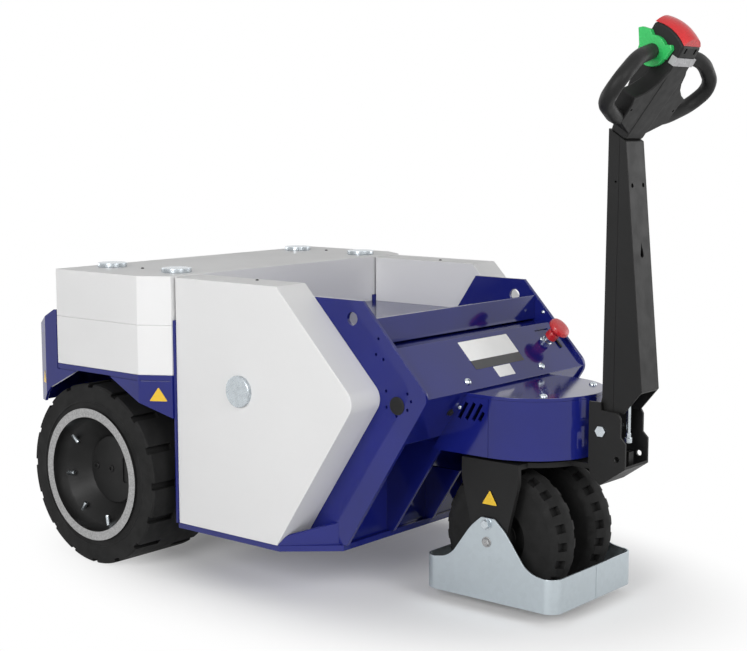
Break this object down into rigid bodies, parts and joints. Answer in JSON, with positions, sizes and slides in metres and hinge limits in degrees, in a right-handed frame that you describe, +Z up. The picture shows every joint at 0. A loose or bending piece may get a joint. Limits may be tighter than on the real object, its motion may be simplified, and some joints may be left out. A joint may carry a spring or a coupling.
{
  "type": "pedestrian electric tow tractor",
  "caption": "Walk-behind electric tug with ballasted drive wheels, a steered twin front wheel in a guard, a hinged tiller with grip loops and a rear tow clevis.",
  "frame": {"origin": "on the floor under the middle of the whole machine", "axes": "+X forwards to the tiller, +Y to the machine's left, +Z up"},
  "size_m": [1.721, 0.9572, 1.3255],
  "materials": {
    "blue_paint": "deep blue gloss enamel",
    "white_paint": "off-white satin enamel",
    "cap_zinc": "bright zinc plate",
    "cast_black": "satin black",
    "tyre_rubber": "dull black rubber",
    "black_paint": "satin black powder coat",
    "galvanised": "galvanised sheet",
    "battery_case": "moulded case",
    "head_plastic": "fine-grained black moulding",
    "light_grey_plastic": "pale grey moulding",
    "red_plastic": "glossy red moulding",
    "green_plastic": "glossy green moulding"
  },
  "bodies": {
    "chassis": {"drive_axle": "cast_black", "axle_hangers": "blue_paint", "rear_deck": "blue_paint", "rear_bumper": "blue_paint", "tow_clevis": "black_paint", "tow_pin": "cap_zinc", "rear_ballast_lower": "white_paint", "rear_ballast_upper": "white_paint", "side_ballast_left": "white_paint", "side_ballast_right": "white_paint", "ballast_caps": "cap_zinc", "bulkhead": "blue_paint", "floor_plate": "blue_paint", "side_plate_left": "blue_paint", "side_plate_right": "blue_paint", "ribbed_wall": "blue_paint", "battery": "battery_case", "load_tray": "blue_paint", "console_panel": "blue_paint", "console_return": "blue_paint", "nose_drum": "blue_paint", "nose_lid": "blue_paint", "steering_head": "blue_paint", "stop_neck": "head_plastic", "stop_button": "red_plastic"},
    "rear_wheel_left": {"rear_tyre_left": "tyre_rubber", "rear_wheel_left": "cast_black"},
    "rear_wheel_right": {"rear_tyre_right": "tyre_rubber", "rear_wheel_right": "cast_black"},
    "steering": {"fork": "black_paint", "wheel_guard": "galvanised", "front_axle": "cap_zinc", "tiller_bracket": "black_paint", "tiller_pivot": "cap_zinc"},
    "front_wheels": {"front_rims": "black_paint", "front_tyres": "tyre_rubber"},
    "tiller": {"tiller_channel": "black_paint", "tiller_cover": "black_paint", "tiller_rod": "cap_zinc", "tiller_head": "head_plastic", "head_band": "light_grey_plastic", "reverse_button": "red_plastic", "thumb_switches": "green_plastic", "grip_loops": "head_plastic"}
  },
  "joints": [
    {"name": "rear_wheel_left_spin", "type": "hinge", "parent": "chassis", "child": "rear_wheel_left", "pos_m": [-0.54453, 0.365, 0.2286], "axis": [0, 1, 0], "continuous": true},
    {"name": "rear_wheel_right_spin", "type": "hinge", "parent": "chassis", "child": "rear_wheel_right", "pos_m": [-0.54453, -0.365, 0.2286], "axis": [0, 1, 0], "continuous": true},
    {"name": "steer", "type": "hinge", "parent": "chassis", "child": "steering", "pos_m": [0.45847, 0, 0.36], "axis": [0, 0, 1], "range_deg": [-90, 90]},
    {"name": "front_wheels_spin", "type": "hinge", "parent": "steering", "child": "front_wheels", "pos_m": [0.45847, 0, 0.1651], "axis": [0, 1, 0], "continuous": true},
    {"name": "tiller_lower", "type": "hinge", "parent": "steering", "child": "tiller", "pos_m": [0.67847, 0, 0.428], "axis": [0, 1, 0], "range_deg": [0, 80], "stiffness_Nm_per_rad": 34, "springref_deg": -17.19}
  ]
}
